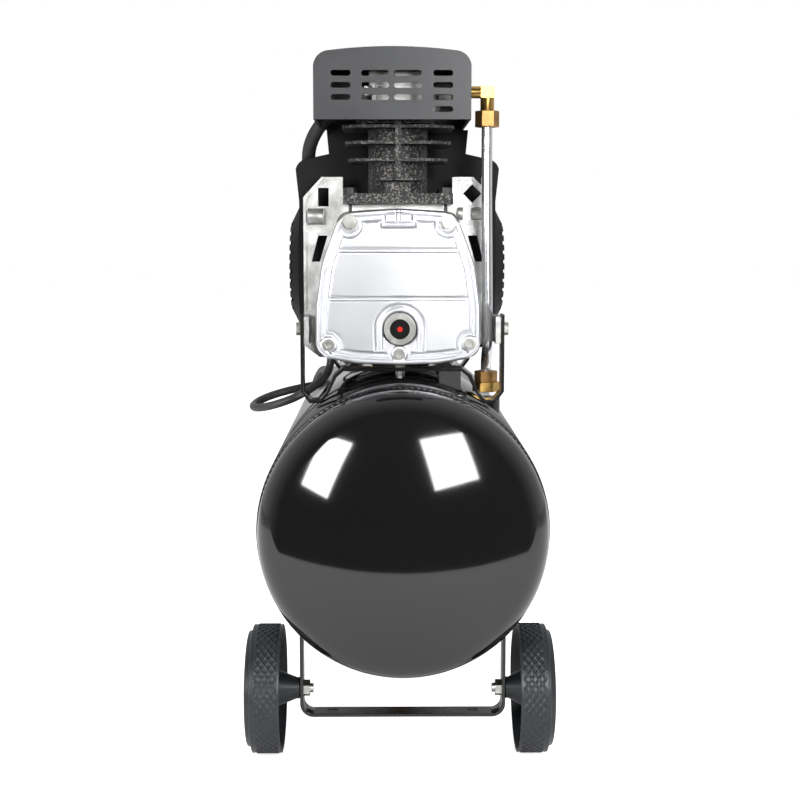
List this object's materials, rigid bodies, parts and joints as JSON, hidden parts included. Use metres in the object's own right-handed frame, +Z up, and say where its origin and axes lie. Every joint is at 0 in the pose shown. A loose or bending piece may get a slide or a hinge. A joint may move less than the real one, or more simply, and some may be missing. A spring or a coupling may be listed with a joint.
{
  "type": "air compressor",
  "caption": "Portable direct-drive air compressor: one-cylinder pump and cowled motor above a horizontal air tank on two wheels and rubber feet, with mains lead.",
  "frame": {"origin": "bottom centre of the compressor's own bounding box, on the floor", "axes": "+X across the unit to the discharge tube's side, +Y from the pump end to the handle end, +Z up"},
  "size_m": [0.2755, 0.6855, 0.6162],
  "materials": {
    "tank_paint": "gloss",
    "strap_paint": "gloss",
    "wheel_plastic": "matte",
    "zinc": "satin",
    "rubber": "matte",
    "die_cast": "satin",
    "rough_cast": "rough",
    "gasket": "matte",
    "lens": "gloss",
    "cast_iron": "rough",
    "shroud_plastic": "satin",
    "cowl_plastic": "matte",
    "brass": "satin",
    "bronze": "satin",
    "tube_metal": "satin",
    "steel": "satin",
    "copper": "satin",
    "knob": "gloss",
    "clear": "gloss",
    "black_plastic": "satin",
    "needle": "matte"
  },
  "bodies": {
    "chassis": {"air_filter": "black_plastic", "axle_bolts": "zinc", "breather_hose": "rubber", "cable_gland": "black_plastic", "check_valve": "brass", "cord_coil": "rubber", "cover_bolts": "zinc", "crankcase": "rough_cast", "crankcase_cover": "die_cast", "crankcase_gasket": "gasket", "cylinder_barrel": "cast_iron", "cylinder_head": "rough_cast", "discharge_elbow": "brass", "discharge_tube": "tube_metal", "foot_bracket": "strap_paint", "frame_bolts": "zinc", "front_mount_strap": "strap_paint", "gauge_cases": "steel", "gauge_glasses": "clear", "handle_frame": "strap_paint", "handle_grip": "rubber", "head_shroud": "shroud_plastic", "machine_bolts": "zinc", "mains_plug": "black_plastic", "manifold": "brass", "motor_cowl": "cowl_plastic", "motor_end_bracket": "rough_cast", "motor_stator": "steel", "power_cord": "rubber", "pressure_switch": "black_plastic", "rear_mount_strap": "strap_paint", "regulator_body": "brass", "rubber_mounts": "rubber", "shaft_bearings": "steel", "side_vents": "cowl_plastic", "sight_glass_lens": "lens", "sight_glass_ring": "zinc", "tank_head_front": "tank_paint", "tank_head_rear": "tank_paint", "tank_ports": "tank_paint", "tank_shell": "tank_paint", "tube_nuts": "bronze", "valve_plate": "steel", "wheel_bracket": "strap_paint"},
    "wheel_left": {"wheel_left": "wheel_plastic"},
    "wheel_right": {"wheel_right": "wheel_plastic"},
    "crank": {"crankshaft": "steel", "rotor": "steel", "cooling_fan": "black_plastic"},
    "piston": {"piston": "die_cast", "piston_pin_and_rings": "steel"},
    "rod": {"connecting_rod": "die_cast"},
    "switch_knob": {"switch_knob": "knob"},
    "reset_button": {"reset_button": "knob"},
    "regulator_knob": {"regulator_knob": "black_plastic"},
    "tank_needle": {"tank_gauge_needle": "needle"},
    "line_needle": {"line_gauge_needle": "needle"},
    "safety_ring": {"safety_ring": "zinc"},
    "coupler_sleeve": {"coupler_sleeve": "brass"},
    "drain_cock": {"drain_cock": "brass"}
  },
  "joints": [
    {"name": "wheel_left_spin", "type": "hinge", "parent": "chassis", "child": "wheel_left", "pos_m": [-0.116, -0.206, 0.057], "axis": [1, 0, 0], "continuous": true},
    {"name": "wheel_right_spin", "type": "hinge", "parent": "chassis", "child": "wheel_right", "pos_m": [0.116, -0.206, 0.057], "axis": [1, 0, 0], "continuous": true},
    {"name": "crank_spin", "type": "hinge", "parent": "chassis", "child": "crank", "pos_m": [-0.004, -0.101, 0.4146], "axis": [0, 1, 0], "continuous": true},
    {"name": "piston_stroke", "type": "slide", "parent": "chassis", "child": "piston", "axis": [0, 0, 1], "range_m": [0, 0.038]},
    {"name": "rod_swing", "type": "hinge", "parent": "piston", "child": "rod", "pos_m": [-0.004, -0.176, 0.5048], "axis": [0, 1, 0], "range_deg": [-10, 10]},
    {"name": "switch_pull", "type": "slide", "parent": "chassis", "child": "switch_knob", "axis": [0, 0, 1], "range_m": [0, 0.006]},
    {"name": "reset_press", "type": "slide", "parent": "chassis", "child": "reset_button", "axis": [0, -1, 0], "range_m": [0, 0.002], "stiffness_N_per_m": 400},
    {"name": "regulator_turn", "type": "hinge", "parent": "chassis", "child": "regulator_knob", "pos_m": [-0.034, 0.137, 0.3786], "axis": [0, 0, 1], "range_deg": [0, 720]},
    {"name": "tank_gauge_turn", "type": "hinge", "parent": "chassis", "child": "tank_needle", "pos_m": [0.026, 0.167, 0.3586], "axis": [0, -1, 0], "range_deg": [0, 270]},
    {"name": "line_gauge_turn", "type": "hinge", "parent": "chassis", "child": "line_needle", "pos_m": [-0.034, 0.167, 0.3586], "axis": [0, -1, 0], "range_deg": [0, 270]},
    {"name": "safety_pull", "type": "slide", "parent": "chassis", "child": "safety_ring", "axis": [0, -1, 0], "range_m": [0, 0.004], "stiffness_N_per_m": 600},
    {"name": "coupler_slide", "type": "slide", "parent": "chassis", "child": "coupler_sleeve", "axis": [-1, 0, 0], "range_m": [0, 0.005], "stiffness_N_per_m": 500},
    {"name": "drain_turn", "type": "hinge", "parent": "chassis", "child": "drain_cock", "pos_m": [0, -0.036, 0.056], "axis": [0, 0, 1], "range_deg": [0, 360]}
  ]
}
